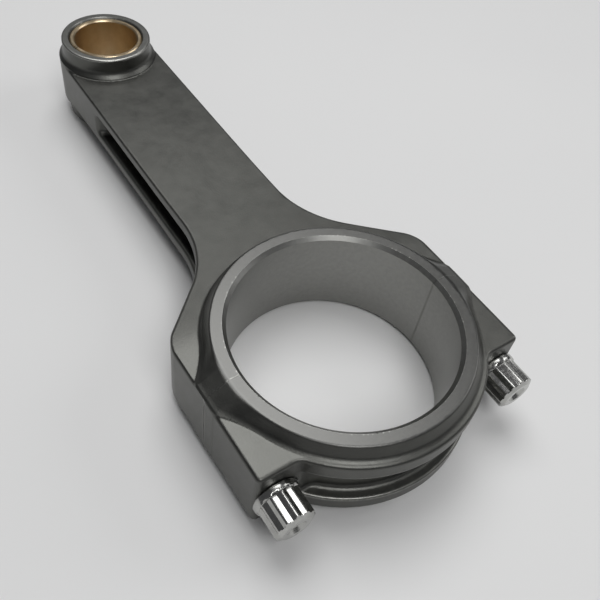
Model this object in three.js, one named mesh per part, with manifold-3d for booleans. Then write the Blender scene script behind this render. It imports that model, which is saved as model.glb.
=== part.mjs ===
// Connecting rod for a small inline engine, lying flat.
//
// Frame: millimetres, +Z along the crankpin and piston-pin axes, +Y from the big end to the
// small end, +X across the two cap bolts. The origin is on the crankpin axis at mid thickness.
//
// The rod is a two-piece, H-section rod: a forged body, a ribbed cap, two twelve-point flanged
// bolts, two locating dowels and a bronze piston-pin bush. The joint between body and cap lies
// in the XZ plane. The two sides about X = 0 are alike. Both dowels lie above the bolts, so the
// cap fits only one way round.

import * as THREE from 'three';
import { mergeVertices } from 'three/addons/utils/BufferGeometryUtils.js';
import Module from 'manifold-3d';

// ---------------------------------------------------------------- overall sizes
const CENTRE_DISTANCE = 121.5; // crankpin axis to piston-pin axis
const THRUST_WIDTH = 24.4; // between the two thrust faces of the big end

// ---------------------------------------------------------------- fits
const JOINT_GAP = 0.3; // between two faces that meet
const BORE_GAP = 0.3; // radial gap between a shank, bush or dowel and its hole
const HOLE_END_GAP = 0.6; // beyond the tip of a bolt or dowel
const OVERCUT = 2; // how far a cutting solid passes the face it opens

// ---------------------------------------------------------------- big end
const CRANK_BORE = 51.0; // bore diameter for the bearing shells
const BORE_CHAMFER = 0.9;
const RING_LAND = 3.6; // radial width of the raised thrust ring, from the bore's wall
const RING_STEP = 3.0; // drop from the thrust ring to the boss faces
const RING_SLOPE = 1.7; // radial run of that drop
const INNER_BOLT_WALL = 0.9; // between the bore and a bolt hole
const OUTER_BOLT_WALL = 0.8; // between a bolt hole and the flat side
const HOLE_END_WALL = 1.4; // along Y, from the end of a bolt hole to the shoulder's start
const SHOULDER_ANGLE = 45; // degrees, shoulder slope from the flat sides to the beam
const SHOULDER_FILLET = 28; // concave radius between shoulder and beam
const JOINT_SLOPE_LENGTH = 9.2; // along Y, where the ring's slope runs out to the flat side
const JOINT_SLOPE_FLARE = 5.4; // how much further along Y it reaches beside the ring

// ---------------------------------------------------------------- beam
const BEAM_WIDTH = 27.8; // across the flanges' edges
const BEAM_THICKNESS = 12.2; // along Z, at the small end
const RAMP_OVERLAP = 14.1; // how far inside the thrust ring's edge the ramp starts
const RAMP_LENGTH = 65; // along Y, from the boss faces down to the beam's own thickness
const RAMP_POWER = 3; // steep at the bosses, levelling out along the beam
const WEB_WIDTH = 10.0; // solid width between the two side channels
const FLANGE_THICKNESS = 3.0; // each flange, along Z
const CHANNEL_END_RADIUS = 14; // run-out radius of the channel at both ends
const CHANNEL_BIG_END_WALL = 9.5; // between the crank bore and the channel
const CHANNEL_SMALL_END_WALL = 10.3; // between the channel and the bush's hole

// ---------------------------------------------------------------- small end
const PIN_BORE = 18.0; // bush inside diameter
const BUSH_WALL = 1.4;
const BUSH_RECESS = 0.3; // from the eye's face to the bush's end
const EYE_WIDTH = 23.6; // between the faces of the eye
const EYE_RING_WALL = 2.0; // radial width of the raised ring round the bush's hole
const EYE_FOOT = 1.2; // radial width of the step from the ring down to beam level
const EYE_CHAMFER = 1.0; // fall of the slope at the ring's foot

// ---------------------------------------------------------------- cap
const CAP_WALL = 6.8; // radial, from the bore to the outside of the two ribs
const CAP_CHANNEL_WIDTH = 9.4; // channel between the two ribs
const CAP_CHANNEL_DEPTH = 2.9;
const BOLT_SEAT_Y = 20.5; // distance of the bolt seats from the joint

// ---------------------------------------------------------------- bolts and dowels
const BOLT_D = 6.6;
const BOLT_REACH = 14.0; // length of the bolt that screws into the body
const FLANGE_LEDGE = 1.8; // radial width of the flange outside the shank
const FLANGE_HEIGHT = 1.6;
const HEAD_SETBACK = 0.3; // from the flange's edge to the head's points
const HEAD_POINT_DEPTH = 0.65; // radial, from the points to the roots between them
const HEAD_HEIGHT = 6.4;
const HEAD_POINTS = 12;
const SPOT_FACE_GAP = 0.3; // round a bolt's flange at its seat
const DOWEL_D = 2.5;
const DOWEL_LENGTH = 9.0;

// ---------------------------------------------------------------- facets
const BIG_SEGMENTS = 72;
const SMALL_SEGMENTS = 48;
const BOLT_SEGMENTS = 32;
const FILLET_SEGMENTS = 10;
const RAMP_SEGMENTS = 12;

// ---------------------------------------------------------------- sizes that follow
const half = (size) => size / 2;
const boreR = half(CRANK_BORE);
const ringR = boreR + RING_LAND;
const ringFootR = ringR + RING_SLOPE;
const ringZ = half(THRUST_WIDTH);
const bossZ = ringZ - RING_STEP;
const shankR = half(BOLT_D);
const boltHoleR = shankR + BORE_GAP;
const boltX = boreR + INNER_BOLT_WALL + boltHoleR;
const boltHoleEnd = BOLT_REACH + HOLE_END_GAP;
const flangeR = shankR + FLANGE_LEDGE;
const dowelHoleR = half(DOWEL_D) + BORE_GAP;
const dowelHoleEnd = half(DOWEL_LENGTH) + HOLE_END_GAP;
const dowelZ = half(boltHoleR + bossZ);
const sideX = boltX + boltHoleR + OUTER_BOLT_WALL;
const sideTop = boltHoleEnd + HOLE_END_WALL;
const beamX = half(BEAM_WIDTH);
const beamZ = half(BEAM_THICKNESS);
const rampStart = ringR - RAMP_OVERLAP;
const rampEnd = rampStart + RAMP_LENGTH;
const bushR = half(PIN_BORE) + BUSH_WALL;
const eyeBoreR = bushR + BORE_GAP;
const eyeRingR = eyeBoreR + EYE_RING_WALL;
const eyeBodyR = eyeRingR + EYE_FOOT;
const eyeZ = half(EYE_WIDTH);
const capR = boreR + CAP_WALL;
const jointY = half(JOINT_GAP);

const wasm = await Module();
wasm.setup();

// ---------------------------------------------------------------- solids from geometries

function solid(geometry) {
  const bare = geometry.index ? geometry.toNonIndexed() : geometry.clone();
  bare.deleteAttribute('normal');
  bare.deleteAttribute('uv');
  const merged = mergeVertices(bare, 1e-4);
  const mesh = new wasm.Mesh({
    numProp: 3,
    vertProperties: new Float32Array(merged.attributes.position.array),
    triVerts: new Uint32Array(merged.index.array),
  });
  return new wasm.Manifold(mesh);
}

function geometryOf(manifold) {
  const mesh = manifold.getMesh();
  const geometry = new THREE.BufferGeometry();
  geometry.setAttribute('position', new THREE.BufferAttribute(mesh.vertProperties, 3));
  geometry.setIndex(new THREE.BufferAttribute(mesh.triVerts, 1));
  geometry.computeVertexNormals();
  return geometry;
}

// A cylinder along Z between two heights.
function cylinderZ(radius, z0, z1, x, y, segments) {
  const geometry = new THREE.CylinderGeometry(radius, radius, z1 - z0, segments);
  geometry.rotateX(Math.PI / 2);
  geometry.translate(x, y, (z0 + z1) / 2);
  return solid(geometry);
}

// A cylinder along Y between two places.
function cylinderY(radius, y0, y1, x, z, segments) {
  const geometry = new THREE.CylinderGeometry(radius, radius, y1 - y0, segments);
  geometry.translate(x, (y0 + y1) / 2, z);
  return solid(geometry);
}

// A body turned about a Z axis through (x, y); the profile is a list of [radius, z].
function turned(profile, x, y, segments) {
  const points = profile.map(([radius, z]) => new THREE.Vector2(radius, z));
  const geometry = new THREE.LatheGeometry(points, segments);
  geometry.rotateX(Math.PI / 2);
  geometry.translate(x, y, 0);
  return solid(geometry);
}

function box(x0, x1, y0, y1, z0, z1) {
  const geometry = new THREE.BoxGeometry(x1 - x0, y1 - y0, z1 - z0);
  geometry.translate((x0 + x1) / 2, (y0 + y1) / 2, (z0 + z1) / 2);
  return solid(geometry);
}

// A plate with its outline in XY, centred on Z = 0.
function plate(shape, thickness) {
  const settings = { depth: thickness, bevelEnabled: false, curveSegments: FILLET_SEGMENTS };
  const geometry = new THREE.ExtrudeGeometry(shape, settings);
  geometry.translate(0, 0, -thickness / 2);
  return solid(geometry);
}

// A bar with its outline in YZ (the shape's x is Y and its y is Z), centred on X = 0.
function bar(shape, width) {
  const settings = { depth: width, bevelEnabled: false, curveSegments: FILLET_SEGMENTS };
  const geometry = new THREE.ExtrudeGeometry(shape, settings);
  const axes = new THREE.Matrix4().makeBasis(
    new THREE.Vector3(0, 1, 0),
    new THREE.Vector3(0, 0, 1),
    new THREE.Vector3(1, 0, 0),
  );
  geometry.applyMatrix4(axes);
  geometry.translate(-width / 2, 0, 0);
  return solid(geometry);
}

// ---------------------------------------------------------------- shared forms

// The raised ring round a bore: a flat face with a slope at its foot down to a shoulder height.
function raisedRing(faceR, faceZ, footR, footZ, y, segments) {
  const profile = [
    [0, -faceZ],
    [faceR, -faceZ],
    [footR, -footZ],
    [footR, footZ],
    [faceR, faceZ],
    [0, faceZ],
  ];
  return turned(profile, 0, y, segments);
}

// The chamfered through bore of the big end.
function crankBore() {
  const mouthR = boreR + BORE_CHAMFER;
  const endZ = ringZ + OVERCUT;
  const profile = [
    [0, -endZ],
    [mouthR + OVERCUT, -endZ],
    [boreR, -ringZ + BORE_CHAMFER],
    [boreR, ringZ - BORE_CHAMFER],
    [mouthR + OVERCUT, endZ],
    [0, endZ],
  ];
  return turned(profile, 0, 0, BIG_SEGMENTS);
}

// The thrust ring of the big end before it is parted and bored.
function bigEndRing() {
  return raisedRing(ringR, ringZ, ringFootR, bossZ, 0, BIG_SEGMENTS).add(jointSlopes());
}

// Where the ring's slope runs out to the flat sides across the joint, on both sides and faces.
function jointSlopes() {
  const reach = half(JOINT_SLOPE_LENGTH);
  const flareEnd = reach + JOINT_SLOPE_FLARE;
  const shape = new THREE.Shape();
  shape.moveTo(0, -flareEnd);
  shape.lineTo(ringR, -flareEnd);
  shape.quadraticCurveTo(ringFootR, -reach, sideX, -reach);
  shape.lineTo(sideX, reach);
  shape.quadraticCurveTo(ringFootR, reach, ringR, flareEnd);
  shape.lineTo(-ringR, flareEnd);
  shape.quadraticCurveTo(-ringFootR, reach, -sideX, reach);
  shape.lineTo(-sideX, -reach);
  shape.quadraticCurveTo(-ringFootR, -reach, -ringR, -flareEnd);
  shape.closePath();
  const cone = raisedRing(ringR, ringZ, sideX, bossZ, 0, BIG_SEGMENTS);
  return cone.intersect(plate(shape, THRUST_WIDTH));
}

// Two like cylinders along Y, one on each bolt's side, at a height.
function pairOfHoles(radius, y0, y1, z) {
  const [left, right] = [-1, 1].map((side) =>
    cylinderY(radius, y0, y1, side * boltX, z, BOLT_SEGMENTS),
  );
  return left.add(right);
}

// ---------------------------------------------------------------- rod body

// Outline of the body in plan: flat sides, sloping shoulders, concave fillets and the beam.
function bodyOutline() {
  const slope = THREE.MathUtils.degToRad(SHOULDER_ANGLE);
  const cornerY = sideTop + (sideX - beamX) * Math.tan(slope);
  const tangent = SHOULDER_FILLET * Math.tan((Math.PI / 2 - slope) / 2);
  const centreX = beamX + SHOULDER_FILLET;
  const centreY = cornerY + tangent;
  const shape = new THREE.Shape();
  shape.moveTo(-sideX, jointY);
  shape.lineTo(sideX, jointY);
  shape.lineTo(sideX, sideTop);
  shape.absarc(centreX, centreY, SHOULDER_FILLET, Math.PI + (Math.PI / 2 - slope), Math.PI, true);
  shape.lineTo(beamX, CENTRE_DISTANCE);
  shape.lineTo(-beamX, CENTRE_DISTANCE);
  shape.absarc(-centreX, centreY, SHOULDER_FILLET, 0, slope - Math.PI / 2, true);
  shape.lineTo(-sideX, sideTop);
  shape.closePath();
  return shape;
}

// Half thickness of the body at a place along the beam: level bosses, a ramp, level beam.
function halfThickness(y) {
  const t = THREE.MathUtils.clamp((y - rampStart) / RAMP_LENGTH, 0, 1);
  return THREE.MathUtils.lerp(beamZ, bossZ, (1 - t) ** RAMP_POWER);
}

// Side view of the body: its thickness along Z for every place along Y.
function thicknessProfile() {
  const stations = [-OVERCUT];
  for (let i = 0; i <= RAMP_SEGMENTS; i += 1) {
    stations.push(THREE.MathUtils.lerp(rampStart, rampEnd, i / RAMP_SEGMENTS));
  }
  stations.push(CENTRE_DISTANCE + eyeBodyR + OVERCUT);
  const shape = new THREE.Shape();
  shape.moveTo(stations[0], -halfThickness(stations[0]));
  stations.slice(1).forEach((y) => shape.lineTo(y, -halfThickness(y)));
  stations.reverse().forEach((y) => shape.lineTo(y, halfThickness(y)));
  shape.closePath();
  return shape;
}

// One side channel of the H-section: a pocket from the side with rounded run-outs.
function channel(side) {
  const floorX = half(WEB_WIDTH);
  const openX = sideX + OVERCUT;
  const y0 = boreR + CHANNEL_BIG_END_WALL;
  const y1 = CENTRE_DISTANCE - eyeBoreR - CHANNEL_SMALL_END_WALL;
  const r = CHANNEL_END_RADIUS;
  const shape = new THREE.Shape();
  shape.moveTo(floorX, y0 + r);
  shape.absarc(floorX + r, y0 + r, r, Math.PI, Math.PI * 1.5, false);
  shape.lineTo(openX, y0);
  shape.lineTo(openX, y1);
  shape.lineTo(floorX + r, y1);
  shape.absarc(floorX + r, y1 - r, r, Math.PI / 2, Math.PI, false);
  shape.closePath();
  const pocket = plate(shape, BEAM_THICKNESS - 2 * FLANGE_THICKNESS);
  return side < 0 ? pocket.mirror([1, 0, 0]) : pocket;
}

function smallEndEye() {
  const chamferZ = eyeZ - EYE_CHAMFER;
  const footZ = beamZ + EYE_CHAMFER;
  const ring = raisedRing(eyeRingR, eyeZ, eyeRingR, chamferZ, CENTRE_DISTANCE, SMALL_SEGMENTS);
  const foot = raisedRing(eyeRingR, footZ, eyeBodyR, beamZ, CENTRE_DISTANCE, SMALL_SEGMENTS);
  return ring.add(foot);
}

function bushHole() {
  const endZ = eyeZ + OVERCUT;
  return cylinderZ(eyeBoreR, -endZ, endZ, 0, CENTRE_DISTANCE, SMALL_SEGMENTS);
}

function rodBody() {
  const upperHalf = box(-sideX, sideX, jointY, ringFootR + OVERCUT, -ringZ, ringZ);
  return plate(bodyOutline(), THRUST_WIDTH)
    .intersect(bar(thicknessProfile(), 2 * (sideX + OVERCUT)))
    .add(bigEndRing().intersect(upperHalf))
    .add(smallEndEye())
    .subtract(channel(-1))
    .subtract(channel(1))
    .subtract(crankBore())
    .subtract(bushHole())
    .subtract(pairOfHoles(boltHoleR, -OVERCUT, boltHoleEnd, 0))
    .subtract(pairOfHoles(dowelHoleR, -OVERCUT, dowelHoleEnd, dowelZ));
}

// ---------------------------------------------------------------- rod cap

// Outline of the cap in plan: two square bolt bosses with the round back between them.
function capOutline() {
  const seatX = Math.sqrt(capR * capR - BOLT_SEAT_Y * BOLT_SEAT_Y);
  const seatAngle = Math.atan2(-BOLT_SEAT_Y, seatX);
  const shape = new THREE.Shape();
  shape.moveTo(sideX, -jointY);
  shape.lineTo(-sideX, -jointY);
  shape.lineTo(-sideX, -BOLT_SEAT_Y);
  shape.lineTo(-seatX, -BOLT_SEAT_Y);
  shape.absarc(0, 0, capR, -Math.PI - seatAngle, seatAngle, false);
  shape.lineTo(sideX, -BOLT_SEAT_Y);
  shape.closePath();
  return shape;
}

// The channel round the back of the cap, between its two ribs.
function capChannel() {
  const z = half(CAP_CHANNEL_WIDTH);
  const floorR = capR - CAP_CHANNEL_DEPTH;
  const openR = capR + OVERCUT;
  const profile = [
    [floorR, -z],
    [openR, -z],
    [openR, z],
    [floorR, z],
    [floorR, -z],
  ];
  const seatX = Math.sqrt(capR * capR - BOLT_SEAT_Y * BOLT_SEAT_Y);
  const back = box(-seatX, seatX, -openR, -BOLT_SEAT_Y, -z - OVERCUT, z + OVERCUT);
  return turned(profile, 0, 0, BIG_SEGMENTS).intersect(back);
}

function rodCap() {
  const reach = Math.max(capR, ringFootR) + OVERCUT;
  const lowerHalf = box(-sideX, sideX, -reach, -jointY, -ringZ, ringZ);
  return plate(capOutline(), 2 * bossZ)
    .add(bigEndRing().intersect(lowerHalf))
    .subtract(crankBore())
    .subtract(capChannel())
    .subtract(pairOfHoles(flangeR + SPOT_FACE_GAP, -reach, -BOLT_SEAT_Y, 0))
    .subtract(pairOfHoles(boltHoleR, -reach, OVERCUT, 0))
    .subtract(pairOfHoles(dowelHoleR, -dowelHoleEnd, OVERCUT, dowelZ));
}

// ---------------------------------------------------------------- small pieces

function smallEndBush() {
  const innerR = half(PIN_BORE);
  const z = eyeZ - BUSH_RECESS;
  const profile = [
    [innerR, -z],
    [bushR, -z],
    [bushR, z],
    [innerR, z],
    [innerR, -z],
  ];
  return turned(profile, 0, CENTRE_DISTANCE, SMALL_SEGMENTS);
}

// A twelve-point flanged bolt, its head below the seat and its shank up into the body.
function capBolt(side) {
  const x = side * boltX;
  const flangeTop = -BOLT_SEAT_Y - JOINT_GAP;
  const headTop = flangeTop - FLANGE_HEIGHT;
  const insideFlange = flangeTop - half(FLANGE_HEIGHT);
  const pointR = flangeR - HEAD_SETBACK;
  const rootR = pointR - HEAD_POINT_DEPTH;
  const star = new THREE.Shape();
  for (let i = 0; i < 2 * HEAD_POINTS; i += 1) {
    const angle = (i * Math.PI) / HEAD_POINTS;
    const radius = i % 2 ? rootR : pointR;
    const u = radius * Math.cos(angle);
    const v = radius * Math.sin(angle);
    if (i === 0) star.moveTo(u, v);
    else star.lineTo(u, v);
  }
  star.closePath();
  const depth = HEAD_HEIGHT + half(FLANGE_HEIGHT);
  const head = new THREE.ExtrudeGeometry(star, { depth, bevelEnabled: false });
  head.rotateX(Math.PI / 2);
  head.translate(x, insideFlange, 0);
  return cylinderY(shankR, insideFlange, BOLT_REACH - JOINT_GAP, x, 0, BOLT_SEGMENTS)
    .add(cylinderY(flangeR, headTop, flangeTop, x, 0, BOLT_SEGMENTS))
    .add(solid(head));
}

function dowel(side) {
  const reach = half(DOWEL_LENGTH);
  return cylinderY(half(DOWEL_D), -reach, reach, side * boltX, dowelZ, BOLT_SEGMENTS);
}

// ---------------------------------------------------------------- assembly

const connectingRod = new THREE.Group();

function addPiece(name, manifold, color, roughness, metalness) {
  const material = new THREE.MeshStandardMaterial({ color, roughness, metalness });
  const mesh = new THREE.Mesh(geometryOf(manifold), material);
  mesh.name = name;
  connectingRod.add(mesh);
}

addPiece('rod_body', rodBody(), 0x6d6e68, 0.38, 1.0);
addPiece('rod_cap', rodCap(), 0x6d6e68, 0.38, 1.0);
addPiece('small_end_bush', smallEndBush(), 0x9a7442, 0.35, 1.0);
addPiece('cap_bolt_left', capBolt(-1), 0xc9c9c6, 0.2, 1.0);
addPiece('cap_bolt_right', capBolt(1), 0xc9c9c6, 0.2, 1.0);
addPiece('dowel_left', dowel(-1), 0x8f8f8c, 0.3, 1.0);
addPiece('dowel_right', dowel(1), 0x8f8f8c, 0.3, 1.0);

export default connectingRod;
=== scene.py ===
"""Connecting rod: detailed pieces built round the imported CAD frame.

The body and the cap are meshed from distance functions, and the bush, bolts and dowels are skins
through rings of points. Sizes are in mm, in the CAD's frame, until a mesh or a material is made.
"""

import math

import bmesh
import bpy
import numpy as np
from mathutils import Matrix, Vector


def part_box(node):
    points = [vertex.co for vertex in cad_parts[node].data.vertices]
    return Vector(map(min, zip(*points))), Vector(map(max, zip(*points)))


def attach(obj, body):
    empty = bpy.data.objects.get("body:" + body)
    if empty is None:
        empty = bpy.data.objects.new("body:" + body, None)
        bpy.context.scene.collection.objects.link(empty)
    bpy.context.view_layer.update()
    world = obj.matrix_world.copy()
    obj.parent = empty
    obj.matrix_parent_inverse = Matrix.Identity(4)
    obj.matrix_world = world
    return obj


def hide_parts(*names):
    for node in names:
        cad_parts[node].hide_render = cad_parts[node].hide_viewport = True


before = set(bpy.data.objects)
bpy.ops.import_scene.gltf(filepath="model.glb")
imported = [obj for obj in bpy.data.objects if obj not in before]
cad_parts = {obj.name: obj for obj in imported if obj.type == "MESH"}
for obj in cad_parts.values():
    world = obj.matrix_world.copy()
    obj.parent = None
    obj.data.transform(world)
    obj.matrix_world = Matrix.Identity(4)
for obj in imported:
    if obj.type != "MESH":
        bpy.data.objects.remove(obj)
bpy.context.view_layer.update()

MM = 0.001
# turns the sum of two square-on distances into the distance to a 45 degree slope
SLOPE_45 = math.sqrt(0.5)

# ------------------------------------------------------------------ sizes, read from the frame
_, body_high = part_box("rod_body")
cap_low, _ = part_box("rod_cap")
bush_low, bush_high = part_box("small_end_bush")
bolt_low, bolt_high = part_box("cap_bolt_right")
dowel_low, dowel_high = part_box("dowel_right")

SIDE_X = body_high.x / MM
RING_Z = body_high.z / MM
PIN_Y = (bush_low.y + bush_high.y) / 2 / MM
BUSH_R = (bush_high.x - bush_low.x) / 2 / MM
BUSH_Z = bush_high.z / MM
CAP_R = -cap_low.y / MM
BOLT_X = (bolt_low.x + bolt_high.x) / 2 / MM
FLANGE_R = (bolt_high.x - bolt_low.x) / 2 / MM
BOLT_TIP_Y = bolt_high.y / MM
HEAD_END_Y = bolt_low.y / MM
DOWEL_R = (dowel_high.x - dowel_low.x) / 2 / MM
DOWEL_Z = (dowel_low.z + dowel_high.z) / 2 / MM
DOWEL_REACH = dowel_high.y / MM

# ------------------------------------------------------------------ sizes of the finished surfaces
# big end: the bore, and the raised thrust ring with its sloping foot
BORE_R = 25.5
BORE_CHAMFER = 0.9
RING_R = 29.1
RING_FOOT_R = 30.8
RING_EDGE = 0.3
RING_SIDE_EDGE = 0.5
RING_FILLET = 0.8
# the foot widens towards the joint face, from this far off and over this length
RING_FLARE = 3.8
FLARE_START = 3.5
FLARE_REACH = 9.0
BOSS_Z = 9.2
# shoulders: flat sides, a 45 degree slope, and a large fillet that turns it back into the beam
SIDE_TOP = 16.0
SHOULDER_EDGE = 2.5
SHOULDER_FILLET = 28.0
SHOULDER_HALF_TURN = math.radians(22.5)
# beam: it thins along a cubic ramp from the big end's thickness to its own
BEAM_X = 13.9
BEAM_Z = 6.1
BEAM_EDGE = 0.7
RAMP_START = 15.0
RAMP_LENGTH = 65.0
RAMP_SOFTNESS = 0.05
WEB_X = 5.0
CHANNEL_Z = 3.1
CHANNEL_LOW = 35.0
CHANNEL_HIGH = 100.5
CHANNEL_END_R = 14.0
CHANNEL_FILLET = 1.6
CHANNEL_EDGE = 0.9
# small end: a ring that stands on a sloping foot
EYE_Z = 11.8
EYE_RING_R = 12.7
EYE_RING_EDGE = 0.45
EYE_RING_FILLET = 0.5
EYE_FOOT_R = 13.9
EYE_FOOT_RISE = 1.5
EYE_FOOT_FILLET = 0.3
EYE_CLEARANCE = 0.02
EYE_CHAMFER = 0.45
# cap: bolt bosses, and a channel between two ribs round the back
BOLT_SEAT_Y = 20.5
BOSS_EDGE = 1.2
CAP_BACK_FILLET = 0.9
CAP_EDGE = 0.9
CAP_CHANNEL_Z = 4.7
CAP_CHANNEL_DEPTH = 2.9
CAP_CHANNEL_BELOW_SEAT = 0.4
CAP_CHANNEL_FILLET = 1.2
CAP_CHANNEL_END = 1.0
CAP_CHANNEL_EDGE = 0.5
SEAT_CLEARANCE = 0.25
SEAT_FILLET = 0.3
# joint face and the holes across it
JOINT_HALF_GAP = 0.015
HOLE_R = 3.45
HOLE_CHAMFER = 0.6
BOLT_HOLE_SPARE = 0.9
DOWEL_CLEARANCE = 0.05
DOWEL_HOLE_SPARE = 0.5
# bush and dowels
BUSH_WALL = 1.4
BUSH_CHAMFER = 0.35
BUSH_SEGMENTS = 128
DOWEL_CHAMFER = 0.3
DOWEL_SEGMENTS = 48
# bolts: the twelve-point head
BOLT_SEGMENTS = 144
POINT_INSET = 0.3
POINT_HEIGHT = 0.62
POINT_SOFTENING = 0.08
HEAD_EDGE = 0.75
HEAD_CONE_SLOPE = 0.62
HEAD_CONE_WIDENING = 1.25
HEAD_CONE_RISES = (0.0, 0.25, 0.5, 0.75, 1.0, 1.25)
# keeps the cone's first row from welding to the rim that it starts on
ROW_NUDGE = 0.0001
# the recess in the head's end, as depth and radius
RECESS = ((0.9, 0.0), (0.75, 1.4), (0.15, 2.1), (0.0, 2.3))
FLANGE_THICKNESS = 1.6
FLANGE_GAP = 0.02
FLANGE_CHAMFER = 0.25
# bolts: the shank, its waist and the thread
SHANK_R = 3.3
PLAIN_DEPTH = 0.05
WAIST_DEPTH = 0.4
RUN_OUT_DEPTH = 0.3
THREAD_START = -1.5
THREAD_PITCH = 1.0
THREAD_DEPTH = 0.55
THREAD_ROWS_PER_TURN = 6
THREAD_CREST = 1.15
THREAD_FLANK = 3.0
TIP_LENGTH = 0.9

# ------------------------------------------------------------------ settings of the meshing
BODY_CELL = 0.48
CAP_CELL = 0.40
# the grid's margin outside the limits, in cells
GRID_MARGIN = 1.3
# half the distance that a slope is measured over
GRADIENT_STEP = 0.004
ROOT_STEPS = 6
ROOT_GUARD = 0.05
# a direction this much weaker than the strongest doesn't move a vertex
WEAK_DIRECTION = 0.06
CELL_GUARD = 0.01
PROJECTIONS = 3
ON_SURFACE = 0.002
TINY = 1e-9
# where a face's corner normals are measured, from the corner to the middle of the face
NORMAL_INSET = 0.25
# how far edges and inside corners are felt by the worn, painted-highlight edges and the painted
# corner shade
EDGE_AND_CORNER_REACH = 0.8
WELD_DISTANCE = 1e-7
DEGENERATE_LENGTH = 1e-8
TURNED_SHARP_DEGREES = 32
BOLT_SHARP_DEGREES = 28


# ------------------------------------------------------------------ distance functions
def round_cut(a, b, r):
    """Both a and b inside, with the edge where they meet rounded."""
    return np.minimum(-r, np.maximum(a, b)) + np.hypot(np.maximum(r + a, 0), np.maximum(r + b, 0))


def round_join(a, b, r):
    """Either a or b, with a fillet where they meet."""
    return -round_cut(-a, -b, r)


def folded(p):
    """The coordinates with x and z folded to one side."""
    return np.abs(p[..., 0]), p[..., 1], np.abs(p[..., 2])


def body_outline(x, y):
    """Distance to the body's outline in plan, with x folded to one side."""
    side = x - SIDE_X
    slope = ((x - SIDE_X) + (y - SIDE_TOP)) * SLOPE_45
    shoulder = round_cut(side, slope, SHOULDER_EDGE)
    beam = x - BEAM_X
    centre_x = BEAM_X + SHOULDER_FILLET
    corner_y = SIDE_TOP + SIDE_X - BEAM_X
    centre_y = corner_y + SHOULDER_FILLET * math.tan(SHOULDER_HALF_TURN)
    u = centre_x - x
    v = centre_y - y
    fillet = SHOULDER_FILLET - np.hypot(u, v)
    d = np.where((v >= 0) & (v <= u), fillet, np.minimum(shoulder, beam))
    d = np.where((v < 0) & (y <= PIN_Y), beam, d)
    eye = np.hypot(x, y - PIN_Y) - EYE_FOOT_R
    return np.where(y > PIN_Y, eye, d)


def body_half_thickness(y):
    """Half the thickness of the boss and the beam, along the ramp between them."""
    t = (y - RAMP_START) / RAMP_LENGTH
    t = np.minimum((t + np.hypot(t, RAMP_SOFTNESS)) / 2, 1)
    return BEAM_Z + (BOSS_Z - BEAM_Z) * (1 - t) ** 3


def thrust_ring(x, y, r, z):
    """The raised ring; across the joint its slope runs out to the flat sides."""
    near = np.clip(1 - (np.abs(y) - FLARE_START) / FLARE_REACH, 0, 1)
    foot = RING_FOOT_R + RING_FLARE * near**2
    run = foot - RING_R
    drop = RING_Z - BOSS_Z
    slope = ((r - RING_R) * drop + (z - RING_Z) * run) / np.hypot(run, drop)
    ring = np.maximum(round_cut(z - RING_Z, slope, RING_EDGE), r - foot)
    return round_cut(ring, x - SIDE_X, RING_SIDE_EDGE)


def crank_bore(r, z):
    """What the big end's bore leaves standing, with its chamfered mouth."""
    wall = BORE_R - r
    chamfer = ((BORE_R + BORE_CHAMFER - r) - (RING_Z - z)) * SLOPE_45
    return np.maximum(wall, chamfer)


def hole_y(x, y, z, radius, centre_x, centre_z, end):
    """A hole along Y from the joint to a depth, with a small chamfer at its mouth."""
    r = np.hypot(x - centre_x, z - centre_z)
    depth = np.abs(y) - end
    mouth = r - radius + (np.abs(y) - HOLE_CHAMFER)
    return np.minimum(np.maximum(r - radius, depth), np.maximum(mouth * SLOPE_45, depth))


def dowel_hole(x, y, z):
    """The hole for a dowel, on the side that x is folded to."""
    end = DOWEL_REACH + DOWEL_HOLE_SPARE
    return hole_y(x, y, z, DOWEL_R + DOWEL_CLEARANCE, BOLT_X, DOWEL_Z, end)


def body_shape(p):
    """The body without its bolt and dowel holes and its joint face."""
    x, y, z = folded(p)
    r = np.hypot(x, y)
    q = np.hypot(x, y - PIN_Y)
    d = round_cut(body_outline(x, y), z - body_half_thickness(y), BEAM_EDGE)
    d = round_join(d, thrust_ring(x, y, r, z), RING_FILLET)
    # small end
    ring = round_cut(q - EYE_RING_R, z - EYE_Z, EYE_RING_EDGE)
    foot_slope = ((q - EYE_RING_R) + (z - BEAM_Z - EYE_FOOT_RISE)) * SLOPE_45
    foot = np.maximum(foot_slope, q - EYE_FOOT_R)
    d = round_join(d, np.maximum(foot, z - EYE_Z), EYE_FOOT_FILLET)
    d = np.maximum(round_join(d, ring, EYE_RING_FILLET), body_outline(x, y))
    # side channels
    mid = (CHANNEL_LOW + CHANNEL_HIGH) / 2
    half = (CHANNEL_HIGH - CHANNEL_LOW) / 2
    plan = round_cut(WEB_X - x, np.abs(y - mid) - half, CHANNEL_END_R)
    channel = round_cut(plan, z - CHANNEL_Z, CHANNEL_FILLET)
    d = round_cut(d, -channel, CHANNEL_EDGE)
    # the two bores
    d = np.maximum(d, crank_bore(r, z))
    eye_wall = BUSH_R + EYE_CLEARANCE - q
    eye_mouth = ((BUSH_R + EYE_CHAMFER - q) - (EYE_Z - z)) * SLOPE_45
    return np.maximum(d, np.maximum(eye_wall, eye_mouth))


def rod_body(p):
    """The finished body. Its dowel holes lie to one side of mid thickness, so z isn't folded."""
    x, y, z = np.abs(p[..., 0]), p[..., 1], p[..., 2]
    bolt = hole_y(x, y, z, HOLE_R, BOLT_X, 0, BOLT_TIP_Y + BOLT_HOLE_SPARE)
    d = np.maximum(body_shape(p), -np.minimum(bolt, dowel_hole(x, y, z)))
    return np.maximum(d, JOINT_HALF_GAP - y)


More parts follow.
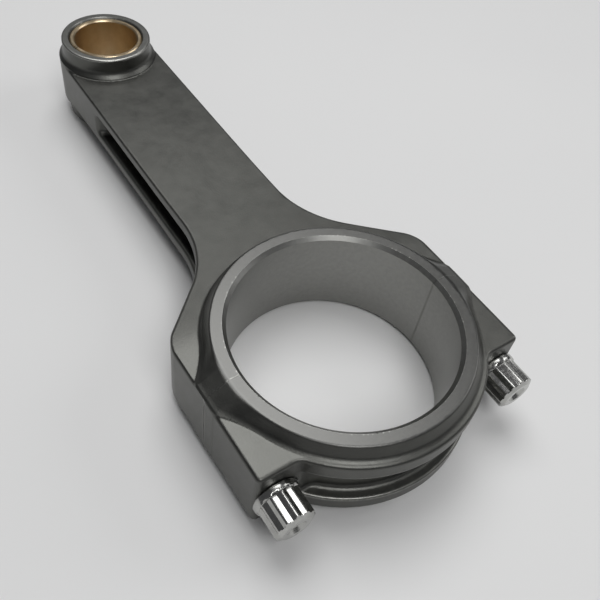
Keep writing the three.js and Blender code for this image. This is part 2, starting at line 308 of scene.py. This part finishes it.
def cap_shape(p):
    """The cap without its bolt and dowel holes and its joint face."""
    x, y, z = folded(p)
    r = np.hypot(x, y)
    bosses = round_cut(x - SIDE_X, -BOLT_SEAT_Y - y, BOSS_EDGE)
    plan = round_join(bosses, r - CAP_R, CAP_BACK_FILLET)
    d = round_cut(plan, z - BOSS_Z, CAP_EDGE)
    d = round_join(d, thrust_ring(x, y, r, z), RING_FILLET)
    floor = (CAP_R - CAP_CHANNEL_DEPTH) - r
    below = y + BOLT_SEAT_Y + CAP_CHANNEL_BELOW_SEAT
    channel = round_cut(floor, z - CAP_CHANNEL_Z, CAP_CHANNEL_FILLET)
    channel = round_cut(channel, below, CAP_CHANNEL_END)
    d = round_cut(d, -channel, CAP_CHANNEL_EDGE)
    d = np.maximum(d, crank_bore(r, z))
    q = np.hypot(x - BOLT_X, z)
    seat = round_cut(q - FLANGE_R - SEAT_CLEARANCE, y + BOLT_SEAT_Y, SEAT_FILLET)
    return np.maximum(d, -seat)


def rod_cap(p):
    """The finished cap. Its dowel holes lie to one side of mid thickness, so z isn't folded."""
    x, y, z = np.abs(p[..., 0]), p[..., 1], p[..., 2]
    bolt = np.hypot(x - BOLT_X, z) - HOLE_R
    d = np.maximum(cap_shape(p), -np.minimum(bolt, dowel_hole(x, y, z)))
    return np.maximum(d, y + JOINT_HALF_GAP)


# ------------------------------------------------------------------ meshing a distance function
def gradient(field, p):
    """The direction in which the field grows, as unit vectors."""
    g = np.empty_like(p)
    for axis in range(3):
        offset = np.zeros(3)
        offset[axis] = GRADIENT_STEP
        g[:, axis] = field(p + offset) - field(p - offset)
    return g / np.maximum(np.linalg.norm(g, axis=1, keepdims=True), TINY)


def grid_crossings(value, axis):
    """The grid edges along an axis that the surface crosses, and the field at both their ends."""
    first = [slice(None)] * 3
    second = [slice(None)] * 3
    first[axis] = slice(0, -1)
    second[axis] = slice(1, None)
    start, end = value[tuple(first)], value[tuple(second)]
    inner = [slice(1, -1)] * 3
    inner[axis] = slice(None)
    away_from_border = np.zeros(start.shape, bool)
    away_from_border[tuple(inner)] = True
    index = np.argwhere(((start < 0) != (end < 0)) & away_from_border)
    at = tuple(index.T)
    return index, start[at], end[at]


def edge_roots(field, start, direction, f0, f1):
    """The point on each grid edge where the field is zero, by false position kept off the ends."""
    low_t = np.zeros(len(start))
    high_t = np.ones(len(start))
    low_f, high_f = f0, f1
    for _ in range(ROOT_STEPS):
        share = np.clip(low_f / (low_f - high_f), ROOT_GUARD, 1 - ROOT_GUARD)
        t = low_t + (high_t - low_t) * share
        f = field(start + t[:, None] * direction)
        same = (f < 0) == (low_f < 0)
        low_t, high_t = np.where(same, t, low_t), np.where(same, high_t, t)
        low_f, high_f = np.where(same, f, low_f), np.where(same, high_f, f)
    t = low_t + (high_t - low_t) * low_f / (low_f - high_f)
    return start + t[:, None] * direction


def add_rows(sums, cell, rows):
    """Add each row to the sums of its cell."""
    for k in range(rows.shape[1]):
        sums[:, k] += np.bincount(cell, rows[:, k], len(sums))


def nearest_to_planes(ata, atb, centre):
    """The point of each cell that is nearest to all its tangent planes, by least squares."""
    matrix = ata[:, [0, 1, 2, 1, 3, 4, 2, 4, 5]].reshape(-1, 3, 3)
    rest = atb - np.einsum("nij,nj->ni", matrix, centre)
    values, vectors = np.linalg.eigh(matrix)
    strong = values > WEAK_DIRECTION * values[:, 2:3]
    inverse = np.where(strong, 1 / np.where(strong, values, 1), 0)
    along = np.einsum("nji,nj->ni", vectors, rest) * inverse
    return centre + np.einsum("nij,nj->ni", vectors, along)


def contour(field, low, high, cell):
    """Dual contouring: one vertex for each cell and one quad for each grid edge that the surface
    crosses. Returns the vertices, which stay within low and high, and the quads."""
    limits = np.array((low, high), float)
    low, high = limits + np.array((-GRID_MARGIN, GRID_MARGIN))[:, None] * cell
    counts = np.ceil((high - low) / cell).astype(int) + 1
    axes = [low[i] + cell * np.arange(counts[i]) for i in range(3)]
    value = field(np.stack(np.meshgrid(*axes, indexing="ij"), axis=-1))
    cells = counts - 1
    strides = np.array([cells[1] * cells[2], cells[2], 1])
    total = int(np.prod(cells))
    # sums over the crossings of each cell: the normals' products, the planes, the points
    ata = np.zeros((total, 6))
    atb = np.zeros((total, 3))
    points = np.zeros((total, 3))
    number = np.zeros(total)
    quads = []
    for axis in range(3):
        index, f0, f1 = grid_crossings(value, axis)
        direction = np.zeros(3)
        direction[axis] = cell
        point = edge_roots(field, low + cell * index, direction, f0, f1)
        normal = gradient(field, point)
        plane = np.sum(normal * point, axis=1, keepdims=True)
        products = normal[:, [0, 0, 0, 1, 1, 2]] * normal[:, [0, 1, 2, 1, 2, 2]]
        u, v = [a for a in range(3) if a != axis]
        corners = []
        for du, dv in ((-1, -1), (0, -1), (0, 0), (-1, 0)):
            at = index.copy()
            at[:, u] += du
            at[:, v] += dv
            flat = at @ strides
            corners.append(flat)
            add_rows(ata, flat, products)
            add_rows(atb, flat, normal * plane)
            add_rows(points, flat, point)
            number += np.bincount(flat, minlength=total)
        quad = np.stack(corners, axis=1)
        inward = (f0 >= 0) if axis != 1 else (f0 < 0)
        quad[inward] = quad[inward][:, ::-1]
        quads.append(quad)
    used = np.flatnonzero(number)
    centre = points[used] / number[used][:, None]
    vertex = nearest_to_planes(ata[used], atb[used], centre)
    cell_low = low + cell * np.stack(np.unravel_index(used, cells), axis=1)
    vertex = np.clip(vertex, cell_low + CELL_GUARD * cell, cell_low + (1 - CELL_GUARD) * cell)
    for _ in range(PROJECTIONS):
        off = field(vertex)
        moved = np.abs(off) > ON_SURFACE
        vertex[moved] -= off[moved, None] * gradient(field, vertex[moved])
    vertex = np.clip(vertex, limits[0], limits[1])
    lookup = np.full(total, -1)
    lookup[used] = np.arange(len(used))
    return vertex, lookup[np.concatenate(quads)]


def new_object(name, data):
    """An object in the scene for a mesh, light or camera."""
    obj = bpy.data.objects.new(name, data)
    bpy.context.scene.collection.objects.link(obj)
    return obj


def contour_object(name, field, shape, low, high, cell):
    """Mesh a field, and mark how near each vertex is to an edge or an inside corner of the shape."""
    vertex, faces = contour(field, low, high, cell)
    mesh = bpy.data.meshes.new(name)
    mesh.vertices.add(len(vertex))
    mesh.vertices.foreach_set("co", (vertex * MM).astype(np.float32).ravel())
    mesh.loops.add(faces.size)
    mesh.loops.foreach_set("vertex_index", faces.astype(np.int32).ravel())
    mesh.polygons.add(len(faces))
    mesh.polygons.foreach_set("loop_start", np.arange(0, faces.size, 4, dtype=np.int32))
    mesh.polygons.foreach_set("loop_total", np.full(len(faces), 4, np.int32))
    mesh.update(calc_edges=True)
    mesh.polygons.foreach_set("use_smooth", np.ones(len(faces), bool))
    corner = vertex[faces]
    middle = corner.mean(axis=1, keepdims=True)
    sample = corner + NORMAL_INSET * (middle - corner)
    normal = gradient(field, sample.reshape(-1, 3))
    mesh.normals_split_custom_set(normal.tolist())
    outward = np.zeros_like(vertex)
    np.add.at(outward, faces.ravel(), normal)
    outward /= np.maximum(np.linalg.norm(outward, axis=1, keepdims=True), TINY)
    for label, sign in (("edge", -1), ("cavity", 1)):
        bend = 1 - sign * shape(vertex + sign * EDGE_AND_CORNER_REACH * outward) / EDGE_AND_CORNER_REACH
        layer = mesh.attributes.new(label, "FLOAT", "POINT")
        layer.data.foreach_set("value", np.clip(bend, 0, 1).astype(np.float32))
    return new_object(name, mesh)


# ------------------------------------------------------------------ turned pieces
def finish_mesh(obj, sharp_degrees):
    """Weld the end points, set the normals outwards and keep the edges over an angle sharp."""
    work = bmesh.new()
    work.from_mesh(obj.data)
    bmesh.ops.remove_doubles(work, verts=work.verts, dist=WELD_DISTANCE)
    bmesh.ops.dissolve_degenerate(work, edges=work.edges, dist=DEGENERATE_LENGTH)
    bmesh.ops.recalc_face_normals(work, faces=work.faces)
    limit = math.radians(sharp_degrees)
    for edge in work.edges:
        edge.smooth = len(edge.link_faces) == 2 and edge.calc_face_angle(0) < limit
    for face in work.faces:
        face.smooth = True
    work.to_mesh(obj.data)
    work.free()
    return obj


def rings_object(name, rows, count, axis, centre, sharp_degrees):
    """A skin through rings of points. Each row is a height along the axis, y or z, and a radius,
    or one radius for each angle. A radius of 0 closes an end to a point."""
    angle = np.arange(count) * 2 * math.pi / count
    vertex = []
    faces = []
    for height, radius in rows:
        radii = np.broadcast_to(radius, count)
        for k in range(count):
            vertex.append((radii[k] * math.cos(angle[k]), radii[k] * math.sin(angle[k]), height))
    for j in range(len(rows) - 1):
        for k in range(count):
            a = j * count + k
            b = j * count + (k + 1) % count
            faces.append((a, b, b + count, a + count))
    vertex = np.array(vertex)
    if axis == "y":
        vertex = vertex[:, [1, 2, 0]]
    vertex = vertex + np.array(centre)
    mesh = bpy.data.meshes.new(name)
    mesh.from_pydata((vertex * MM).tolist(), [], faces)
    return finish_mesh(new_object(name, mesh), sharp_degrees)


def make_bush():
    """The bush: a tube with chamfered ends, whose last row is its first."""
    inner = BUSH_R - BUSH_WALL
    z = BUSH_Z
    c = BUSH_CHAMFER
    rows = [
        (-z + c, inner),
        (-z, inner + c),
        (-z, BUSH_R - c),
        (-z + c, BUSH_R),
        (z - c, BUSH_R),
        (z, BUSH_R - c),
        (z, inner + c),
        (z - c, inner),
        (-z + c, inner),
    ]
    centre = (0, PIN_Y, 0)
    return rings_object("bush_bronze", rows, BUSH_SEGMENTS, "z", centre, TURNED_SHARP_DEGREES)


def make_dowel(name, x):
    """A dowel: a pin with chamfered ends."""
    reach = DOWEL_REACH
    c = DOWEL_CHAMFER
    rows = [
        (-reach, 0),
        (-reach, DOWEL_R - c),
        (-reach + c, DOWEL_R),
        (reach - c, DOWEL_R),
        (reach, DOWEL_R - c),
        (reach, 0),
    ]
    return rings_object(name, rows, DOWEL_SEGMENTS, "y", (x, 0, DOWEL_Z), TURNED_SHARP_DEGREES)


def twelve_points(point_r, root_r):
    """Radii of a twelve-point head: points of 120 degrees, with softened tips and roots."""
    angle = np.arange(BOLT_SEGMENTS) * 2 * math.pi / BOLT_SEGMENTS
    sector = math.pi / 6
    off_middle = np.abs((angle + sector / 2) % sector - sector / 2)
    flat = point_r * math.cos(math.pi / 6)
    hexagon = flat / np.cos(np.pi / 6 - off_middle)
    return np.clip(hexagon, root_r, point_r - POINT_SOFTENING)


def head_rows(seat):
    """Rows of a bolt's head, from its recessed end to the flange's face on the seat."""
    end = HEAD_END_Y
    point_r = FLANGE_R - POINT_INSET
    root_r = point_r - POINT_HEIGHT
    star = twelve_points(point_r, root_r)
    rows = [(end + depth, radius) for depth, radius in RECESS]
    rows.append((end, root_r - HEAD_EDGE))
    for rise in HEAD_CONE_RISES:
        cone = root_r - HEAD_EDGE + rise * HEAD_CONE_WIDENING
        rows.append((end + rise * HEAD_CONE_SLOPE + ROW_NUDGE, np.minimum(star, cone)))
    flange = seat - FLANGE_THICKNESS
    rows += [
        (flange - 0.5, star),
        (flange - 0.12, star + 0.1),
        (flange, np.minimum(star + 0.35, FLANGE_R - 0.1)),
        (flange + 0.25, FLANGE_R - 0.08),
        (flange + 0.5, FLANGE_R),
        (seat - FLANGE_CHAMFER, FLANGE_R),
        (seat, FLANGE_R - FLANGE_CHAMFER),
    ]
    return rows


def shank_rows(seat):
    """Rows of a bolt's shank: a fillet under the flange, the plain length and the waist."""
    return [
        (seat, SHANK_R + 0.2),
        (seat + 0.3, SHANK_R - PLAIN_DEPTH),
        (seat + 3.0, SHANK_R - PLAIN_DEPTH),
        (seat + 4.5, SHANK_R - WAIST_DEPTH),
        (THREAD_START - 2.0, SHANK_R - WAIST_DEPTH),
        (THREAD_START - 1.0, SHANK_R - RUN_OUT_DEPTH),
    ]


def thread_rows():
    """Rows of a bolt's thread and tip. The ridge climbs one pitch each turn, and fades in."""
    angle = np.arange(BOLT_SEGMENTS) / BOLT_SEGMENTS
    rows = []
    y = THREAD_START
    while y < BOLT_TIP_Y - TIP_LENGTH:
        phase = (y / THREAD_PITCH - angle) % 1.0
        ridge = np.clip(THREAD_CREST - np.abs(phase - 0.5) * THREAD_FLANK, 0, 1)
        fade = min(1.0, (y - THREAD_START) / THREAD_PITCH)
        groove = THREAD_DEPTH * fade * (1 - ridge)
        rows.append((y, SHANK_R - groove - RUN_OUT_DEPTH * (1 - fade)))
        y += THREAD_PITCH / THREAD_ROWS_PER_TURN
    rows += [
        (BOLT_TIP_Y - 0.85, SHANK_R - 0.6),
        (BOLT_TIP_Y - 0.1, SHANK_R - 1.1),
        (BOLT_TIP_Y, SHANK_R - 1.3),
        (BOLT_TIP_Y, 0),
    ]
    return rows


def make_bolt(name, x):
    """A twelve-point cap screw, with its flange on the cap's seat."""
    seat = -BOLT_SEAT_Y - FLANGE_GAP
    rows = head_rows(seat) + shank_rows(seat) + thread_rows()
    return rings_object(name, rows, BOLT_SEGMENTS, "y", (x, 0, 0), BOLT_SHARP_DEGREES)


# ------------------------------------------------------------------ materials
# colours, each from its darkest to its lightest
PEENED = ((0.108, 0.109, 0.102), (0.131, 0.132, 0.123))
PEENED_PATCH = (0.144, 0.144, 0.134)
RING_FACE = ((0.128, 0.128, 0.123), (0.147, 0.147, 0.141))
HONED_BORE = ((0.28, 0.28, 0.268), (0.32, 0.32, 0.305))
EYE_FACE = (0.28, 0.28, 0.265)
# worn edges, lighter: partly real wear and partly a painted highlight along the edges
WORN_AND_HIGHLIT_EDGE = (0.50, 0.50, 0.47)
# painted shade: inside corners darkened
PAINTED_CORNER_SHADE = (0.06, 0.06, 0.055)
BRONZE = ((0.64, 0.50, 0.32), (0.74, 0.60, 0.41))
BRONZE_STREAK = (0.78, 0.65, 0.46)
BOLT_STEEL = ((0.42, 0.42, 0.405), (0.52, 0.52, 0.50))
DOWEL_STEEL = ((0.50, 0.50, 0.48), (0.60, 0.60, 0.57))
FLOOR_PAPER = ((0.76, 0.76, 0.76), (0.80, 0.80, 0.795))
# the middle part of a noise's range, which is spread over a whole change of colour
NOISE_LOW, NOISE_HIGH = 0.3, 0.7
# a machined face fades in between these two depths below it
FACE_FADE_START, FACE_FADE_END = 0.25, 0.1


class Nodes:
    """Short names for the shader nodes that the materials are built from."""

    def __init__(self, name):
        self.material = bpy.data.materials.new(name)
        self.material.use_nodes = True
        self.tree = self.material.node_tree
        self.tree.nodes.clear()
        output = self.tree.nodes.new("ShaderNodeOutputMaterial")
        self.shader = self.tree.nodes.new("ShaderNodeBsdfPrincipled")
        self.tree.links.new(self.shader.outputs[0], output.inputs[0])
        coordinates = self.tree.nodes.new("ShaderNodeTexCoord")
        self.place = coordinates.outputs["Object"]

    def node(self, kind, **values):
        """A node with some of its properties set."""
        made = self.tree.nodes.new(kind)
        for key, value in values.items():
            setattr(made, key, value)
        return made

    def put(self, socket, value):
        """A link or a plain value into a socket."""
        if isinstance(value, bpy.types.NodeSocket):
            self.tree.links.new(value, socket)
        else:
            socket.default_value = value

    def surface(self, **values):
        """The shader's own sockets, such as base_color and roughness."""
        for key, value in values.items():
            self.put(self.shader.inputs[key.replace("_", " ").title()], value)

    def math(self, operation, a, b=0.0, clamp=False):
        made = self.node("ShaderNodeMath", operation=operation, use_clamp=clamp)
        for socket, value in zip(made.inputs, (a, b)):
            self.put(socket, value)
        return made.outputs[0]

    def step(self, value, low, high):
        """0 at low, 1 at high, smooth between."""
        made = self.node("ShaderNodeMapRange", interpolation_type="SMOOTHSTEP")
        self.put(made.inputs["Value"], value)
        made.inputs["From Min"].default_value = low
        made.inputs["From Max"].default_value = high
        return made.outputs[0]

    def remap(self, value, low, high, to_low, to_high):
        """A range spread evenly over another one."""
        made = self.node("ShaderNodeMapRange")
        self.put(made.inputs["Value"], value)
        limits = {"From Min": low, "From Max": high, "To Min": to_low, "To Max": to_high}
        for key, number in limits.items():
            made.inputs[key].default_value = number
        return made.outputs[0]

    def spread(self, noise, to_low, to_high):
        """The middle of a noise's range, spread over another range."""
        return self.remap(noise, NOISE_LOW, NOISE_HIGH, to_low, to_high)

    def noise(self, scale, detail, roughness=0.5, stretch=None):
        place = self.place
        if stretch:
            mapping = self.node("ShaderNodeMapping")
            mapping.inputs["Scale"].default_value = stretch
            self.put(mapping.inputs["Vector"], place)
            place = mapping.outputs[0]
        made = self.node("ShaderNodeTexNoise")
        self.put(made.inputs["Vector"], place)
        made.inputs["Scale"].default_value = scale
        made.inputs["Detail"].default_value = detail
        made.inputs["Roughness"].default_value = roughness
        return made.outputs["Fac"]

    def attribute(self, name):
        return self.node("ShaderNodeAttribute", attribute_name=name).outputs["Fac"]

    def cells(self, scale):
        """Distance to the nearest of many scattered points."""
        made = self.node("ShaderNodeTexVoronoi")
        self.put(made.inputs["Vector"], self.place)
        made.inputs["Scale"].default_value = scale
        return made.outputs["Distance"]

    def mix(self, factor, a, b):
        """From colour a to colour b."""
        made = self.node("ShaderNodeMix", data_type="RGBA")
        self.put(made.inputs[0], factor)
        for socket, value in ((made.inputs[6], a), (made.inputs[7], b)):
            self.put(socket, (*value, 1) if isinstance(value, tuple) else value)
        return made.outputs[2]

    def blend(self, factor, a, b):
        """From number a to number b."""
        made = self.node("ShaderNodeMix", data_type="FLOAT")
        self.put(made.inputs[0], factor)
        self.put(made.inputs[2], a)
        self.put(made.inputs[3], b)
        return made.outputs[0]

    def axes(self):
        """The x, y and z of the place, in metres."""
        made = self.node("ShaderNodeSeparateXYZ")
        self.put(made.inputs[0], self.place)
        return made.outputs

    def radius(self, centre_y=0.0):
        """Distance from the line along Z through x = 0 and a y, in metres."""
        x, y, _ = self.axes()
        if centre_y:
            y = self.math("SUBTRACT", y, centre_y)
        squares = self.math("ADD", self.math("MULTIPLY", x, x), self.math("MULTIPLY", y, y))
        return self.math("SQRT", squares)

    def marks(self, place, spacing):
        """Turning marks: a wave along a length, with its spacing in mm."""
        return self.math("SINE", self.math("MULTIPLY", place, 2 * math.pi / (spacing * MM)))

    def bump(self, height, distance, strength, onto=None):
        """A normal bumped by a height; the distance is in mm."""
        made = self.node("ShaderNodeBump")
        made.inputs["Strength"].default_value = strength
        made.inputs["Distance"].default_value = distance * MM
        self.put(made.inputs["Height"], height)
        if onto:
            self.put(made.inputs["Normal"], onto)
        return made.outputs[0]


def steel_material(name):
    """Shot-peened steel, with turned or ground faces where the rod is machined."""
    m = Nodes(name)
    z = m.axes()[2]
    height = m.math("ABSOLUTE", z)
    crank_r = m.radius()
    pin_r = m.radius(PIN_Y * MM)

    # where the machined faces are
    near_crank = m.step(crank_r, (RING_R + 0.3) * MM, RING_R * MM)
    near_pin = m.step(pin_r, (EYE_RING_R + 0.2) * MM, EYE_RING_R * MM)
    ring_top = m.step(height, (RING_Z - FACE_FADE_START) * MM, (RING_Z - FACE_FADE_END) * MM)
    eye_top = m.step(height, (EYE_Z - FACE_FADE_START) * MM, (EYE_Z - FACE_FADE_END) * MM)
    ring_face = m.math("MULTIPLY", near_crank, ring_top)
    eye_face = m.math("MULTIPLY", near_pin, eye_top)
    bore_edge = BORE_R + BORE_CHAMFER
    bore_wall = m.step(crank_r, (bore_edge + 0.08) * MM, (bore_edge - 0.04) * MM)
    ground = m.math("MAXIMUM", ring_face, eye_face, clamp=True)
    machined = m.math("MAXIMUM", ground, bore_wall, clamp=True)

    broad = m.noise(45, 3)
    fine = m.noise(900, 3, 0.6)
    grain = m.cells(2600)
    mottled = m.noise(260, 4, 0.65)
    edge = m.step(m.attribute("edge"), 0.10, 0.28)
    edge = m.math("MULTIPLY", edge, m.spread(mottled, 0.5, 1.0), clamp=True)
    cavity = m.step(m.attribute("cavity"), 0.03, 0.30)

    peened = m.mix(m.spread(mottled, 0, 1), *PEENED)
    peened = m.mix(m.remap(broad, 0.35, 0.65, 0, 0.5), peened, PEENED_PATCH)
    colour = m.mix(ground, peened, m.mix(m.spread(fine, 0, 1), *RING_FACE))
    colour = m.mix(bore_wall, colour, m.mix(m.spread(fine, 0, 1), *HONED_BORE))
    colour = m.mix(eye_face, colour, EYE_FACE)
    # edges lightened: partly real wear, partly a painted highlight standing in for light catching
    # the bevels
    colour = m.mix(m.math("MULTIPLY", edge, 0.55), colour, WORN_AND_HIGHLIT_EDGE)
    # painted shade: inside corners and creases darkened, where shade falls
    colour = m.mix(m.math("MULTIPLY", cavity, 0.45), colour, PAINTED_CORNER_SHADE)

    rough = m.blend(machined, m.spread(mottled, 0.38, 0.45), m.spread(fine, 0.34, 0.40))
    rough = m.blend(m.math("MULTIPLY", edge, 0.5), rough, 0.28)

    # peening dimples everywhere but on the machined faces; turning marks on those
    unmachined = m.math("SUBTRACT", 1.0, machined)
    dimples = m.math("MULTIPLY", m.remap(grain, 0.0, 0.7, 0.0, 1.0), unmachined)
    ring_marks = m.math("MULTIPLY", m.marks(crank_r, 0.18), ring_face)
    eye_marks = m.math("MULTIPLY", m.marks(pin_r, 0.16), eye_face)
    bore_marks = m.math("MULTIPLY", m.marks(z, 0.22), bore_wall)
    marks = m.math("ADD", ring_marks, eye_marks)
    marks = m.math("ADD", marks, m.math("MULTIPLY", bore_marks, 0.6))
    normal = m.bump(dimples, 0.02, 0.5)
    normal = m.bump(m.math("MULTIPLY", marks, 0.5), 0.004, 0.35, normal)
    normal = m.bump(broad, 0.15, 0.12, normal)
    m.surface(base_color=colour, roughness=rough, metallic=1.0, normal=normal)
    return m.material


def bronze_material(name):
    """Honed bronze, with streaks along the bore and turning marks."""
    m = Nodes(name)
    mottled = m.noise(330, 4, 0.6)
    streaks = m.noise(420, 3, 0.6, (1, 1, 0.12))
    colour = m.mix(m.spread(mottled, 0, 1), *BRONZE)
    colour = m.mix(m.remap(streaks, 0.4, 0.7, 0, 0.5), colour, BRONZE_STREAK)
    bore_marks = m.marks(m.axes()[2], 0.25)
    face_marks = m.marks(m.radius(PIN_Y * MM), 0.2)
    normal = m.bump(m.math("ADD", bore_marks, face_marks), 0.003, 0.3)
    normal = m.bump(mottled, 0.05, 0.15, normal)
    rough = m.spread(streaks, 0.26, 0.40)
    m.surface(base_color=colour, roughness=rough, metallic=1.0, normal=normal)
    return m.material


def bright_material(name, colours, rough_low, rough_high, spacing):
    """Ground or polished steel; spacing is that of the turning marks along Y, in mm."""
    m = Nodes(name)
    mottled = m.noise(500, 4, 0.6)
    specks = m.noise(1500, 2)
    normal = m.bump(m.marks(m.axes()[1], spacing), 0.003, 0.25)
    normal = m.bump(mottled, 0.05, 0.12, normal)
    m.surface(
        base_color=m.mix(m.spread(mottled, 0, 1), *colours),
        roughness=m.spread(specks, rough_low, rough_high),
        metallic=1.0,
        normal=normal,
    )
    return m.material


def floor_material(name):
    """Matt paper, with a faint change of tone."""
    m = Nodes(name)
    tone = m.mix(m.noise(9, 3), *FLOOR_PAPER)
    m.surface(base_color=tone, roughness=0.7, normal=m.bump(m.noise(2200, 2), 0.05, 0.1))
    return m.material


# ------------------------------------------------------------------ build
body = contour_object(
    "body_forging",
    rod_body,
    body_shape,
    (-SIDE_X, 0, -RING_Z),
    (SIDE_X, PIN_Y + EYE_FOOT_R, RING_Z),
    BODY_CELL,
)
cap = contour_object(
    "cap_forging",
    rod_cap,
    cap_shape,
    (-SIDE_X, -CAP_R, -RING_Z),
    (SIDE_X, 0, RING_Z),
    CAP_CELL,
)
bush = make_bush()
bolt_left = make_bolt("bolt_left_twelve_point", -BOLT_X)
bolt_right = make_bolt("bolt_right_twelve_point", BOLT_X)
dowel_left = make_dowel("dowel_left_pin", -BOLT_X)
dowel_right = make_dowel("dowel_right_pin", BOLT_X)

steel = steel_material("steel_peened_machined")
bronze = bronze_material("bronze_honed")
bolt_steel = bright_material("steel_bolt_polished", BOLT_STEEL, 0.16, 0.25, 0.3)
dowel_steel = bright_material("steel_dowel_ground", DOWEL_STEEL, 0.2, 0.3, 0.2)

PIECES = (
    (body, "rod", "rod_body", "peened_steel", steel),
    (cap, "cap", "rod_cap", "peened_steel", steel),
    (bush, "rod", "small_end_bush", "bronze", bronze),
    (bolt_left, "bolt_left", "cap_bolt_left", "bolt_steel", bolt_steel),
    (bolt_right, "bolt_right", "cap_bolt_right", "bolt_steel", bolt_steel),
    (dowel_left, "rod", "dowel_left", "dowel_steel", dowel_steel),
    (dowel_right, "rod", "dowel_right", "dowel_steel", dowel_steel),
)
for piece, ridden, node, slot, material in PIECES:
    piece.data.materials.append(material)
    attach(piece, ridden)
    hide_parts(node)

# ------------------------------------------------------------------ floor and light, in metres
FLOOR_HALF = 3.0
FLOOR_GAP = 0.05 * MM
LIGHT_TARGET = Vector((0, 0.04, 0))
# name, place, side and power in watts
SOFTBOXES = (
    ("overhead_softbox", (0.10, 0.29, 0.70), 0.53, 3.3),
    ("side_softbox", (0.72, -0.16, 0.50), 0.40, 1.2),
    ("front_softbox", (-0.08, -0.34, 0.61), 0.30, 1.5),
)
WORLD_COLOUR = (0.80, 0.81, 0.84, 1)
WORLD_STRENGTH = 0.11

floor_z = -RING_Z * MM - FLOOR_GAP
floor_mesh = bpy.data.meshes.new("floor")
floor_corners = [
    (x * FLOOR_HALF, y * FLOOR_HALF, floor_z) for x, y in ((-1, -1), (1, -1), (1, 1), (-1, 1))
]
floor_mesh.from_pydata(floor_corners, [], [(0, 1, 2, 3)])
floor_mesh.materials.append(floor_material("floor_paper"))
floor = new_object("floor", floor_mesh)

for name, at, side, power in SOFTBOXES:
    softbox = bpy.data.lights.new(name, "AREA")
    softbox.shape = "SQUARE"
    softbox.size = side
    softbox.energy = power
    light = new_object(name, softbox)
    light.location = at
    light.rotation_euler = (LIGHT_TARGET - Vector(at)).to_track_quat("-Z", "Y").to_euler()

world = bpy.data.worlds.new("studio")
world.use_nodes = True
background = world.node_tree.nodes["Background"]
background.inputs["Color"].default_value = WORLD_COLOUR
background.inputs["Strength"].default_value = WORLD_STRENGTH
bpy.context.scene.world = world

# ------------------------------------------------------------------ camera
CAMERA_AZIMUTH = math.radians(-41.77)
CAMERA_ELEVATION = math.radians(50.32)
CAMERA_ROLL = math.radians(10.39)
CAMERA_DISTANCE = 173.36 * MM
CAMERA_TARGET = Vector((1.73 * MM, 17.8 * MM, 0))
CAMERA_LENS = 43.3
CAMERA_SENSOR = 36
CLIP_START = 0.005
CLIP_END = 20

camera_data = bpy.data.cameras.new("camera")
camera_data.sensor_width = CAMERA_SENSOR
camera_data.lens = CAMERA_LENS
camera_data.clip_start = CLIP_START
camera_data.clip_end = CLIP_END
camera = new_object("camera", camera_data)
back = Vector(
    (
        math.sin(CAMERA_AZIMUTH) * math.cos(CAMERA_ELEVATION),
        -math.cos(CAMERA_AZIMUTH) * math.cos(CAMERA_ELEVATION),
        math.sin(CAMERA_ELEVATION),
    )
)
right = Vector((0, 0, 1)).cross(back).normalized()
up = back.cross(right)
rolled_right = right * math.cos(CAMERA_ROLL) + up * math.sin(CAMERA_ROLL)
rolled_up = -right * math.sin(CAMERA_ROLL) + up * math.cos(CAMERA_ROLL)
turn = Matrix((rolled_right, rolled_up, back)).transposed().to_4x4()
camera.matrix_world = Matrix.Translation(CAMERA_TARGET + back * CAMERA_DISTANCE) @ turn
bpy.context.scene.camera = camera
bpy.context.scene.view_settings.view_transform = "Standard"
